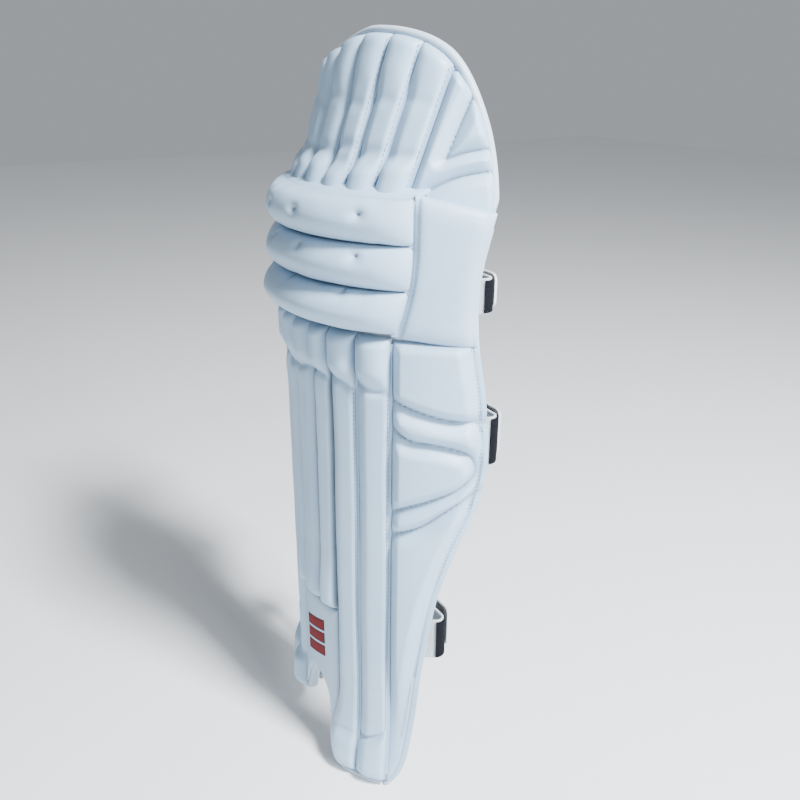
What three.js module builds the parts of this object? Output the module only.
// A cricket batting pad: a padded shell that wraps the front and sides of the lower leg.
// Millimetres, +Z up, and the front of the pad faces -Y. Its longer bottom lobe, at +X, reaches down to z = 0.
//
// Every piece lies on one of two curved surfaces. A place on a surface is given by
//   a  the distance round the arc from the centre line, positive towards +X,
//   z  the height above the floor,
//   t  the distance out of the surface, towards the ball.
import * as THREE from 'three'

// ---- Driving dimensions ----

const SEWN_GAP = 0.3 // between neighbouring pieces that are sewn edge to edge
const LAYER_GAP = 0.9 // between curved layers that lie on each other

// The shin and knee surface: an arc that narrows a little towards the ankle.
const SHELL_RADIUS = 154
const ANKLE_TAPER = 0.95
const FRONT_Y = -45
const KNEE_TOP_Z = 593

// The hat, which is the flap above the knee: it starts behind the knee rolls and leans back.
const HAT_RADIUS = 144
const HAT_STEP = 16
const HAT_LEAN = THREE.MathUtils.degToRad(18)
const HAT_FOOT_Z = 577
const HAT_RISE = 136
const HAT_HALF_ARC = 170
const HAT_SHOULDER_POWER = 3.4
const HAT_CROWN_POWER = 0.83
const HAT_DROOP = 0.075 // share by which the -X shoulder is lower
const HAT_DROOP_ARC = [20, -60]
const HAT_CHANNELS = 7
const HAT_CHANNEL_FOOT = 27.5
const HAT_CHANNEL_SPREAD = 0.0236
const HAT_BOLSTER_FOOT_Z = 600
const HAT_BOARD = 6
const HAT_BINDING_RADIUS = 2.9
const UPPER_WING_TOP_Z = 682
const UPPER_WING_HEM = 3

// The shin: channel widths from the centre line outwards, at the knee.
const CENTRE_CHANNEL = 28.6
const SIDE_CHANNELS = [24, 29.6, 32.6]
const SHIN_BOARD = 8
const SHIN_BOARD_TOP_Z = 572
const BOLSTER_TOP_Z = 483
const BOLSTER_CROWN = 11
const BOLSTER_BULB = 4
const BOLSTER_EDGE = 2

// The bottom edge: an arch over the instep between two rounded lobes, which lean out over the shoe.
const ARCH_HALF = 27
const ARCH_RISE = 38
const LOBE_INNER_RISE = 50
const LOBE_FLAT = [58, 100]
const LOBE_OUTER_RISE = 42
const LOBE_OUTER_ARC = 120
const SHORT_LOBE_Z = 33 // the lobe on the -X side ends this far above the other one
const LOBE_FLARE = 16
const LOBE_FLARE_TOP_Z = 105
const PATCH_TOP_Z = 187
const PATCH_CORNER_Z = 68
const PATCH_SEAM_BEND_Z = 110
const ARCH_RIM = 2
const LOBE_HEM = 6

// The knee: three rolls across the front, and a smooth panel on each side.
const ROLL_FOOT_Z = 487
const ROLL_PITCH = 36.5
const ROLL_NAMES = ['lower', 'middle', 'top']
const ROLL_CROWNS = [21, 17, 15]
const ROLL_END_FULLNESS = [0.75, 0.55, 0.4]
const ROLL_FULL_ARC = [30, 112] // a roll is full up to the first distance and thinnest from the second on
const KNEE_LIFT = 4
const KNEE_SEAM = 120
const KNEE_SEAM_DROP = 14
const KNEE_BACKING = 3
const KNEE_PANEL_FOOT_Z = 485
const KNEE_PANEL_TOP_Z = 590
const KNEE_PANEL_CROWN = 9

// The wings: soft side flaps, sewn to the outer shin channels.
const WING_INNER = 8
const WING_CROWN = 5
const WING_FOOT_Z = 3
const WING_TOP_Z = 481
const WING_SEAM_GAP = 1.5
const WING_EDGE_THICKNESS = 4
// Rear edge of the wing as [height, arc from the centre line].
const WING_REAR_EDGE = [[42, 120], [80, 122], [150, 129], [228, 141], [282, 156], [330, 174], [372, 182], [434, 178], [480, 171], [530, 170], [592, 183]]

// Inside the pad: cane strips behind the board, then a soft lining and the knee cradle.
const CANE_PLACES = [-50, -25, 0, 25, 50]
const CANE_WIDTH = 14
const CANE_THICKNESS = 3
const CANE_HEIGHTS = [130, 465]
const LINING_THICKNESS = 9
const LINING_HALF_ARC = 86
const LINING_TOP_Z = 474
const CRADLE_THICKNESS = 14

// The straps: a long strap from the left wing closes over a short tab on the right wing.
// tabReach is how far the tab comes in from the wing's edge.
const STRAPS = [
  { name: 'knee', z: 518, width: 30, tabReach: 40 },
  { name: 'calf', z: 388, width: 46, tabReach: 46 },
  { name: 'ankle', z: 178, width: 44, tabReach: 25 },
]
const WEBBING = 2.4
const FACING = 1.4 // hook or loop tape
const STRAP_LEAD = 2
const STRAP_BEND = 5
const STRAP_CLEARANCE = 0.8
const ANCHOR_LENGTH = 30
const HINGE_STANDOFF = 3
const HINGE_GAP = 1.4 // clear of the hinge line on each side of it
const STRAP_INSET = 6 // from the far wing's edge in to the end of the long strap

const WHITE = { color: 0xe9edf1, roughness: 0.55, metalness: 0 }
const LINING_GREY = { color: 0xd3d6da, roughness: 0.9, metalness: 0 }
const CANE = { color: 0xcbab72, roughness: 0.7, metalness: 0 }
const BLACK = { color: 0x17171a, roughness: 0.95, metalness: 0 }

// ---- The two surfaces ----

const taper = (z) => ANKLE_TAPER + (1 - ANKLE_TAPER) * Math.min(1, z / KNEE_TOP_Z)
const flare = (z) => LOBE_FLARE * Math.max(0, 1 - z / LOBE_FLARE_TOP_Z) ** 2

function shellPoint(a, z, t) {
  const radius = SHELL_RADIUS * taper(z)
  const angle = a / radius
  return new THREE.Vector3(
    (radius + t) * Math.sin(angle),
    FRONT_Y - flare(z) + radius - (radius + t) * Math.cos(angle),
    z
  )
}

function hatPoint(a, z, t) {
  const angle = a / HAT_RADIUS
  const front = FRONT_Y + HAT_STEP + (z - KNEE_TOP_Z) * Math.tan(HAT_LEAN)
  const out = new THREE.Vector3(Math.sin(angle), -Math.cos(angle), Math.cos(angle) * Math.tan(HAT_LEAN))
  const onSurface = new THREE.Vector3(
    HAT_RADIUS * Math.sin(angle),
    front + HAT_RADIUS * (1 - Math.cos(angle)),
    z
  )
  return onSurface.addScaledVector(out.normalize(), t)
}

// ---- Building blocks ----

const mix = THREE.MathUtils.lerp

// A closed solid between two skins over a patch of a surface, as one shared-vertex grid.
// patch(u, v) gives [a, z]; inner(u, v) and outer(u, v) give t; across and up are rising lists from 0 to 1.
function slab(place, patch, inner, outer, across, up) {
  const columns = across.length
  const rows = up.length
  const positions = []
  for (const skin of [outer, inner]) {
    for (const v of up) {
      for (const u of across) {
        const [a, z] = patch(u, v)
        positions.push(...place(a, z, skin(u, v)).toArray())
      }
    }
  }
  const index = (skin, i, j) => skin * columns * rows + j * columns + i
  const triangles = []
  const quad = (p, q, r, s) => triangles.push(p, q, r, p, r, s)
  for (let j = 0; j < rows - 1; j++) {
    for (let i = 0; i < columns - 1; i++) {
      quad(index(0, i, j), index(0, i + 1, j), index(0, i + 1, j + 1), index(0, i, j + 1))
      quad(index(1, i, j), index(1, i, j + 1), index(1, i + 1, j + 1), index(1, i + 1, j))
    }
  }
  for (let i = 0; i < columns - 1; i++) {
    quad(index(1, i, 0), index(1, i + 1, 0), index(0, i + 1, 0), index(0, i, 0))
    quad(index(0, i, rows - 1), index(0, i + 1, rows - 1), index(1, i + 1, rows - 1), index(1, i, rows - 1))
  }
  for (let j = 0; j < rows - 1; j++) {
    quad(index(0, 0, j), index(0, 0, j + 1), index(1, 0, j + 1), index(1, 0, j))
    const last = columns - 1
    quad(index(1, last, j), index(1, last, j + 1), index(0, last, j + 1), index(0, last, j))
  }
  const geometry = new THREE.BufferGeometry()
  geometry.setAttribute('position', new THREE.Float32BufferAttribute(positions, 3))
  geometry.setIndex(triangles)
  geometry.computeVertexNormals()
  return geometry
}

const even = (steps) => Array.from({ length: steps + 1 }, (_, i) => i / steps)
// Steps that crowd towards both ends, for skins that round over at their edges.
const eased = (steps) => even(steps).map((s) => (1 - Math.cos(Math.PI * s)) / 2)
// A dome over 0 to 1: zero at both ends, one in the middle, and flatter with a higher power.
const dome = (s, power = 2) => Math.sqrt(Math.max(0, 1 - Math.abs(2 * s - 1) ** power))
const constant = (value) => () => value

// A smooth curve through points [x, y], read as y at a given x.
function curveThrough(points) {
  const slope = (i) => {
    const before = points[Math.max(0, i - 1)]
    const after = points[Math.min(points.length - 1, i + 1)]
    return (after[1] - before[1]) / (after[0] - before[0])
  }
  return (x) => {
    let i = 0
    while (i < points.length - 2 && x > points[i + 1][0]) i++
    const [x0, y0] = points[i]
    const [x1, y1] = points[i + 1]
    const span = x1 - x0
    const s = THREE.MathUtils.clamp((x - x0) / span, 0, 1)
    const [s2, s3] = [s * s, s * s * s]
    return (
      (2 * s3 - 3 * s2 + 1) * y0 + (s3 - 2 * s2 + s) * span * slope(i) +
      (3 * s2 - 2 * s3) * y1 + (s3 - s2) * span * slope(i + 1)
    )
  }
}

// ---- Outlines ----

// Distance round the arc of the seam on the outer side of a shin channel; 0 is the centre channel.
function shinSeam(channel, z) {
  let width = CENTRE_CHANNEL / 2
  for (let i = 0; i < channel; i++) width += SIDE_CHANNELS[i]
  return width * taper(z)
}

const wingSeam = (z) => shinSeam(SIDE_CHANNELS.length, z)

// Height of a lobe's lowest edge; side is below 0 for the -X lobe.
const lobeFoot = (side) => (side < 0 ? SHORT_LOBE_Z : 0)

// The rounded inner side of a lobe, below the arch: its distance round the arc at a height.
function lobeSide(z, side) {
  const foot = lobeFoot(side)
  const below = Math.max(0, (LOBE_INNER_RISE - z) / (LOBE_INNER_RISE - foot))
  return LOBE_FLAT[0] - (LOBE_FLAT[0] - ARCH_HALF) * Math.sqrt(1 - below ** 2)
}

// The seam between the instep patch and the middle channel: it bends in to the arch at its foot.
function patchSeam(z, side) {
  if (z < LOBE_INNER_RISE) return lobeSide(z, side) + ARCH_RIM
  const bend = Math.max(0, (PATCH_SEAM_BEND_Z - z) / (PATCH_SEAM_BEND_Z - LOBE_INNER_RISE))
  return mix(shinSeam(1, z), ARCH_HALF + ARCH_RIM, bend * bend)
}

function bottomEdge(a) {
  const side = Math.abs(a)
  const foot = lobeFoot(a)
  if (side < ARCH_HALF) return LOBE_INNER_RISE + ARCH_RISE * Math.sqrt(1 - (side / ARCH_HALF) ** 2)
  if (side < LOBE_FLAT[0]) {
    const s = (LOBE_FLAT[0] - side) / (LOBE_FLAT[0] - ARCH_HALF)
    return mix(foot, LOBE_INNER_RISE, 1 - Math.sqrt(1 - s * s))
  }
  if (side <= LOBE_FLAT[1]) return foot
  const s = Math.min(1, (side - LOBE_FLAT[1]) / (LOBE_OUTER_ARC - LOBE_FLAT[1]))
  return foot + LOBE_OUTER_RISE * (1 - Math.sqrt(1 - s * s))
}

const rearCurve = curveThrough(WING_REAR_EDGE)

function rearEdge(z, side) {
  const top = lobeFoot(side) + LOBE_OUTER_RISE
  if (z > top) return rearCurve(z)
  const s = (top - z) / LOBE_OUTER_RISE
  return mix(LOBE_FLAT[1], rearCurve(top), Math.sqrt(1 - s * s))
}

// The seam between the rolls and the knee's side panels.
function kneeSeam(z) {
  const drop = Math.max(0, (ROLL_FOOT_Z + 2 * ROLL_PITCH - z) / (2 * ROLL_PITCH))
  return KNEE_SEAM - KNEE_SEAM_DROP * drop * drop
}

const smoothstep = THREE.MathUtils.smoothstep
const hatRise = (a) => HAT_RISE * (1 - HAT_DROOP * smoothstep(-a, -HAT_DROOP_ARC[0], -HAT_DROOP_ARC[1]))

const hatTop = (a) =>
  HAT_FOOT_Z + hatRise(a) * (1 - (Math.abs(a) / HAT_HALF_ARC) ** HAT_SHOULDER_POWER) ** HAT_CROWN_POWER

function hatHalf(z, side) {
  const rise = (z - HAT_FOOT_Z) / hatRise(side * HAT_HALF_ARC)
  return HAT_HALF_ARC * (1 - rise ** (1 / HAT_CROWN_POWER)) ** (1 / HAT_SHOULDER_POWER)
}

const hatChannel = (z) => HAT_CHANNEL_FOOT + (z - KNEE_TOP_Z) * HAT_CHANNEL_SPREAD

// ---- The shin ----

// Columns across the board that follow the arch and the lobes closely.
function boardColumns(halfArc) {
  const half = [0, 0.34, 0.64, 0.86, 0.97, 1].map((s) => s * ARCH_HALF)
  for (const s of [0.1, 0.25, 0.5, 1]) half.push(mix(ARCH_HALF, LOBE_FLAT[0], s))
  half.push(mix(LOBE_FLAT[0], halfArc, 0.5), halfArc)
  const all = [...half.slice(1).reverse().map((a) => -a), ...half]
  return all.map((a) => (a + halfArc) / (2 * halfArc))
}

function shinBoard() {
  const halfArc = shinSeam(SIDE_CHANNELS.length, 0) - 1
  const patch = (u, v) => {
    const arc = mix(-halfArc, halfArc, u)
    const z = mix(bottomEdge(arc), SHIN_BOARD_TOP_Z, v)
    return [arc * mix(1, 1 / ANKLE_TAPER, z / KNEE_TOP_Z), z]
  }
  const rows = [0, 0.03, 0.06, 0.09, 0.12, 0.15, 0.19, 0.25, 0.42, 0.6, 0.8, 1]
  return slab(shellPoint, patch, constant(-SHIN_BOARD), constant(0), boardColumns(halfArc), rows)
}

// channel runs from -3 on the left to 3 on the right.
function shinBolster(channel) {
  const side = Math.sign(channel)
  const order = Math.abs(channel)
  const foot = order < 2 ? PATCH_TOP_Z + 3 : lobeFoot(side) + LOBE_HEM
  const patch = (u, v) => {
    const z = mix(foot, BOLSTER_TOP_Z, v)
    const outer = shinSeam(order, z)
    if (side === 0) return [mix(-outer, outer, u) * 0.985, z]
    const inner = order === 2 ? patchSeam(z, side) : shinSeam(order - 1, z)
    const a = mix(inner + SEWN_GAP, outer - SEWN_GAP, side > 0 ? u : 1 - u)
    return [side * a, z]
  }
  const skin = (u, v) => {
    const bulb = BOLSTER_BULB * Math.max(0, 1 - (1 - v) / 0.14)
    const ends = Math.min(1, Math.sqrt(Math.min(v, 1 - v) / 0.035))
    return BOLSTER_EDGE + (BOLSTER_CROWN - BOLSTER_EDGE + bulb) * dome(u, 3) * ends
  }
  const up = [0, 0.012, 0.04, 0.09, 0.14, 0.21, 0.3, 0.5, 0.75, 0.88, 0.965, 0.99, 1]
  return slab(shellPoint, patch, constant(LAYER_GAP), skin, eased(6), up)
}

function instepPatch() {
  const patch = (u, v) => {
    const half = patchSeam(mix(PATCH_CORNER_Z, PATCH_TOP_Z, v), 1) - SEWN_GAP
    const a = mix(-half, half, u)
    return [a, mix(Math.max(PATCH_CORNER_Z, bottomEdge(a) + 2 * ARCH_RIM), PATCH_TOP_Z, v)]
  }
  const skin = (u, v) => 3 + 3 * dome(u, 3) * dome(v, 3)
  return slab(shellPoint, patch, constant(LAYER_GAP), skin, eased(10), eased(6))
}

// ---- The knee ----

function kneePatch(low, high, inset) {
  return (u, v) => {
    const z = mix(low, high, v)
    const half = kneeSeam(z) - inset
    return [mix(-half, half, u), z]
  }
}

function kneeBacking() {
  const patch = kneePatch(ROLL_FOOT_Z, ROLL_FOOT_Z + 3 * ROLL_PITCH, 2)
  return slab(shellPoint, patch, constant(LAYER_GAP), constant(KNEE_BACKING), even(16), even(3))
}

function kneeRoll(order) {
  const foot = ROLL_FOOT_Z + order * ROLL_PITCH
  const patch = kneePatch(foot + SEWN_GAP, foot + ROLL_PITCH - SEWN_GAP, 2)
  const skin = (u, v) => {
    const lift = KNEE_LIFT * (1 - (2 * u - 1) ** 2)
    const thin = smoothstep(Math.abs(2 * u - 1) * KNEE_SEAM, ...ROLL_FULL_ARC)
    const crown = ROLL_CROWNS[order] * mix(1, ROLL_END_FULLNESS[order], thin)
    return KNEE_BACKING + 2 + lift * dome(v, 12) + crown * dome(v) * dome(u, 14)
  }
  const across = [0, 0.006, 0.025, 0.07, 0.16, 0.28, 0.4, 0.5, 0.6, 0.72, 0.84, 0.93, 0.975, 0.994, 1]
  return slab(shellPoint, patch, constant(KNEE_BACKING + LAYER_GAP), skin, across, eased(7))
}

// side is 1 for the +X wing and -1 for the -X wing.
function kneePanel(side) {
  const patch = (u, v) => {
    const z = mix(KNEE_PANEL_FOOT_Z, KNEE_PANEL_TOP_Z, v)
    const front = kneeSeam(z)
    const a = mix(front, rearEdge(z, side), side > 0 ? u : 1 - u)
    return [side * a, z]
  }
  const skin = (u, v) => 1 + KNEE_PANEL_CROWN * dome(u, 4) * dome(v, 6)
  const inner = (u, v) => -2 - (WING_INNER - 4) * dome(u, 4) * dome(v, 4)
  return slab(shellPoint, patch, inner, skin, eased(7), eased(7))
}

// ---- The wings ----

function lowerWing(side) {
  const patch = (u, v) => {
    const z = mix(lobeFoot(side) + WING_FOOT_Z, WING_TOP_Z, v)
    const a = mix(wingSeam(z) + WING_SEAM_GAP, rearEdge(z, side), side > 0 ? u : 1 - u)
    return [side * a, z]
  }
  const skin = (u, v) => 1 + WING_CROWN * dome(u, 4) * dome(v, 12)
  const inner = (u, v) => 1 - WING_EDGE_THICKNESS - (WING_INNER - 3) * dome(u, 4) * dome(v, 12)
  const up = [0, 0.01, 0.035, 0.09, 0.17, 0.3, 0.44, 0.56, 0.65, 0.73, 0.8, 0.88, 0.95, 0.985, 1]
  return slab(shellPoint, patch, inner, skin, eased(7), up)
}

// ---- The hat ----

function hatBoard() {
  const half = HAT_HALF_ARC * 0.975
  const patch = (u, v) => {
    const a = half * Math.sin(Math.PI * (u - 0.5))
    return [a, mix(HAT_FOOT_Z, hatTop(a), v)]
  }
  return slab(hatPoint, patch, constant(-HAT_BOARD), constant(0), even(26), even(5))
}

// channel runs from -3 on the left to 3 on the right.
function hatBolster(channel) {
  const topWidth = hatChannel(HAT_FOOT_Z + HAT_RISE)
  const patch = (u, v) => {
    const across = channel + mix(-0.49, 0.49, u)
    const z = mix(HAT_BOLSTER_FOOT_Z, hatTop(across * topWidth) - 5, v)
    return [across * hatChannel(z), z]
  }
  const skin = (u, v) => {
    const knuckle = 5 * Math.max(0, 1 - v / 0.28)
    const ends = Math.min(1, Math.sqrt(Math.min(v, 1 - v) / 0.09))
    return 2 + (8 + knuckle) * dome(u, 2.5) * ends
  }
  const up = [0, 0.015, 0.06, 0.16, 0.3, 0.55, 0.8, 0.93, 0.98, 1]
  return slab(hatPoint, patch, constant(LAYER_GAP), skin, eased(6), up)
}

function upperWing(side) {
  const topZ = UPPER_WING_TOP_Z - (side < 0 ? HAT_DROOP * HAT_RISE : 0)
  const patch = (u, v) => {
    const z = mix(KNEE_PANEL_TOP_Z + 6, topZ, v)
    const seam = (HAT_CHANNELS / 2) * hatChannel(z) + 1
    const a = mix(seam, hatHalf(z, side) - UPPER_WING_HEM, side > 0 ? u : 1 - u)
    return [side * a, z]
  }
  const skin = (u, v) => 2 + 5 * dome(u, 4) * dome(v, 6)
  return slab(hatPoint, patch, constant(LAYER_GAP), skin, eased(6), eased(7))
}

// Piping round the hat's free edge, from one lower corner over the crown to the other.
function hatBinding() {
  const points = []
  const stand = HAT_BINDING_RADIUS + SEWN_GAP
  const half = HAT_HALF_ARC * 0.975
  const edge = (s) => {
    const a = half * Math.sin(s)
    return new THREE.Vector2(a, hatTop(a))
  }
  const steps = 44
  for (let i = 0; i <= steps; i++) {
    const s = mix(-Math.PI / 2, Math.PI / 2, i / steps)
    const here = edge(s)
    const small = 0.01
    const along = edge(Math.min(s + small, Math.PI / 2)).sub(edge(Math.max(s - small, -Math.PI / 2))).normalize()
    if (i === 0 || i === steps) along.set(0, i === 0 ? 1 : -1)
    points.push(hatPoint(here.x - along.y * stand, here.y + along.x * stand, -HAT_BOARD / 2))
  }
  const path = new THREE.CatmullRomCurve3(points)
  const round = new THREE.Shape().absarc(0, 0, HAT_BINDING_RADIUS, 0, Math.PI * 2)
  return new THREE.ExtrudeGeometry(round, { steps: 60, curveSegments: 8, extrudePath: path, bevelEnabled: false })
}

// ---- Inside the pad ----

function caneStrip(place) {
  const patch = (u, v) => [place + mix(-0.5, 0.5, u) * CANE_WIDTH, mix(...CANE_HEIGHTS, v)]
  const deep = -SHIN_BOARD - LAYER_GAP
  return slab(shellPoint, patch, constant(deep - CANE_THICKNESS), constant(deep), even(2), even(4))
}

const LINING_FACE = -SHIN_BOARD - CANE_THICKNESS - 2 * LAYER_GAP

function shinLining() {
  const patch = (u, v) => {
    const a = mix(-LINING_HALF_ARC, LINING_HALF_ARC, u)
    return [a * taper(LINING_TOP_Z * v), mix(bottomEdge(a) + 9, LINING_TOP_Z, v)]
  }
  const inner = (u, v) => LINING_FACE - 3 - (LINING_THICKNESS - 3) * dome(u, 8) * dome(v, 14)
  const up = [0, 0.02, 0.07, 0.13, 0.2, 0.3, 0.5, 0.72, 0.9, 0.98, 1]
  return slab(shellPoint, patch, inner, constant(LINING_FACE), boardColumns(LINING_HALF_ARC), up)
}

function hatLining() {
  const half = 90
  const patch = (u, v) => {
    const a = mix(-half, half, u)
    return [a, mix(HAT_BOLSTER_FOOT_Z + 4, hatTop(a) - 12, v)]
  }
  const deep = -HAT_BOARD - LAYER_GAP
  const inner = (u, v) => deep - 3 - (LINING_THICKNESS - 4) * dome(u, 6) * dome(v, 6)
  return slab(hatPoint, patch, inner, constant(deep), eased(12), eased(6))
}

function cradleCushion(from, to) {
  const patch = (u, v) => [mix(from, to, u), mix(LINING_TOP_Z + 6, SHIN_BOARD_TOP_Z - 4, v)]
  const deep = -SHIN_BOARD - LAYER_GAP
  const inner = (u, v) => deep - 3 - (CRADLE_THICKNESS - 3) * dome(u, 3) * dome(v, 3)
  return slab(shellPoint, patch, inner, constant(deep), eased(6), eased(6))
}

// ---- Straps ----

// The plan path of a strap: it leaves the wing's rear edge along the wing, bends inwards round a
// corner and runs straight across behind the leg. s is the distance from the wing's edge, h the
// height from the strap's middle, and t the distance out of the strap's inner face.
function strapPlace(strap, side, bend) {
  const inward = -WING_INNER - SEWN_GAP - WEBBING
  const wingEdge = [-0.5, 0.5].map((share) => rearEdge(strap.z + share * strap.width, side))
  const exitArc = Math.max(...wingEdge) + HINGE_STANDOFF
  const exit = shellPoint(exitArc, strap.z, inward)
  const heading = exitArc / (SHELL_RADIUS * taper(strap.z))
  const turn = Math.PI - heading
  const bendLength = bend * turn
  const place = (s, h, t) => {
    if (s < 0) {
      const inside = shellPoint(exitArc + s, strap.z, inward + t)
      return new THREE.Vector3(side * inside.x, inside.y, strap.z + h)
    }
    const straight = Math.min(s, STRAP_LEAD)
    const turned = THREE.MathUtils.clamp((s - STRAP_LEAD) / bend, 0, turn)
    const run = Math.max(0, s - STRAP_LEAD - bendLength)
    const angle = heading + turned
    const x = exit.x + straight * Math.cos(heading) + bend * (Math.sin(angle) - Math.sin(heading)) - run
    const y = exit.y + straight * Math.sin(heading) - bend * (Math.cos(angle) - Math.cos(heading))
    return new THREE.Vector3(side * (x + t * Math.sin(angle)), y - t * Math.cos(angle), strap.z + h)
  }
  const runStart = exit.x + STRAP_LEAD * Math.cos(heading) - bend * Math.sin(heading)
  place.edge = exit.x
  place.bendEnd = STRAP_LEAD + bendLength
  // Length of a strap whose straight run ends at this x on the +X side, or past the centre plane below 0.
  place.lengthTo = (x) => place.bendEnd + runStart - x
  return place
}

function webbing(strap, side, place, from, to, inner, outer, shrink = 0) {
  const half = strap.width / 2 - shrink
  const stops = [from, 0, STRAP_LEAD, ...[0.2, 0.4, 0.6, 0.8].map((s) => mix(STRAP_LEAD, place.bendEnd, s)), place.bendEnd, to]
  const used = [...new Set(stops.filter((s) => s >= from && s <= to))]
  if (to <= 0) used.splice(1, 0, mix(from, to, 0.5))
  const across = used.map((s) => (s - from) / (to - from))
  const patch = (u, v) => {
    const s = mix(from, to, side > 0 ? u : 1 - u)
    return [s, mix(-half, half, v)]
  }
  const columns = side > 0 ? across : across.map((s) => 1 - s).reverse()
  return slab(place, patch, constant(inner), constant(outer), columns, [0, 1])
}

// ---- Assembly ----

const pad = new THREE.Group()

function add(name, geometry, look) {
  const mesh = new THREE.Mesh(geometry, new THREE.MeshStandardMaterial(look))
  mesh.name = name
  pad.add(mesh)
}

const SIDES = [{ name: 'left', sign: -1 }, { name: 'right', sign: 1 }]
const CHANNEL_NAMES = ['left_outer', 'left_middle', 'left_inner', 'centre', 'right_inner', 'right_middle', 'right_outer']

add('shin_board', shinBoard(), LINING_GREY)
CHANNEL_NAMES.forEach((name, i) => add(`shin_bolster_${name}`, shinBolster(i - 3), WHITE))
add('instep_patch', instepPatch(), WHITE)
add('knee_backing', kneeBacking(), WHITE)
ROLL_NAMES.forEach((name, i) => add(`knee_roll_${name}`, kneeRoll(i), WHITE))
CANE_PLACES.forEach((place, i) => add(`cane_strip_${i + 1}`, caneStrip(place), CANE))
add('shin_lining', shinLining(), LINING_GREY)
add('knee_cradle_left', cradleCushion(-90, -33), LINING_GREY)
add('knee_cradle_centre', cradleCushion(-31, 31), LINING_GREY)
add('knee_cradle_right', cradleCushion(33, 90), LINING_GREY)

add('hat_board', hatBoard(), LINING_GREY)
CHANNEL_NAMES.forEach((name, i) => add(`hat_bolster_${name}`, hatBolster(i - 3), WHITE))
add('hat_lining', hatLining(), LINING_GREY)
add('hat_binding', hatBinding(), WHITE)

for (const side of SIDES) {
  add(`upper_wing_${side.name}`, upperWing(side.sign), WHITE)
  add(`lower_wing_${side.name}`, lowerWing(side.sign), WHITE)
  add(`knee_panel_${side.name}`, kneePanel(side.sign), WHITE)
}

for (const strap of STRAPS) {
  // The tab on the right wing lies inside the long strap from the left wing.
  const tab = strapPlace(strap, 1, STRAP_BEND)
  const tabLength = tab.lengthTo(tab.edge - strap.tabReach)
  add(`${strap.name}_tab_anchor`, webbing(strap, 1, tab, -ANCHOR_LENGTH, -HINGE_GAP, 0, WEBBING), WHITE)
  add(`${strap.name}_tab`, webbing(strap, 1, tab, HINGE_GAP, tabLength, 0, WEBBING), WHITE)
  const pile = [WEBBING + SEWN_GAP, WEBBING + SEWN_GAP + FACING]
  add(`${strap.name}_tab_loop`, webbing(strap, 1, tab, HINGE_GAP + 1, tabLength - 2, ...pile, 2), BLACK)

  const outset = WEBBING + 2 * FACING + 2 * SEWN_GAP + STRAP_CLEARANCE
  const long = strapPlace(strap, -1, STRAP_BEND + outset)
  const longLength = long.lengthTo(STRAP_INSET - long.edge)
  add(`${strap.name}_strap_anchor`, webbing(strap, -1, long, -ANCHOR_LENGTH, -HINGE_GAP, 0, WEBBING), WHITE)
  add(`${strap.name}_strap`, webbing(strap, -1, long, HINGE_GAP, longLength, 0, WEBBING), WHITE)
  const hook = [-SEWN_GAP - FACING, -SEWN_GAP]
  add(`${strap.name}_strap_hook`, webbing(strap, -1, long, longLength - strap.tabReach, longLength - 2, ...hook, 2), BLACK)
}

export default pad
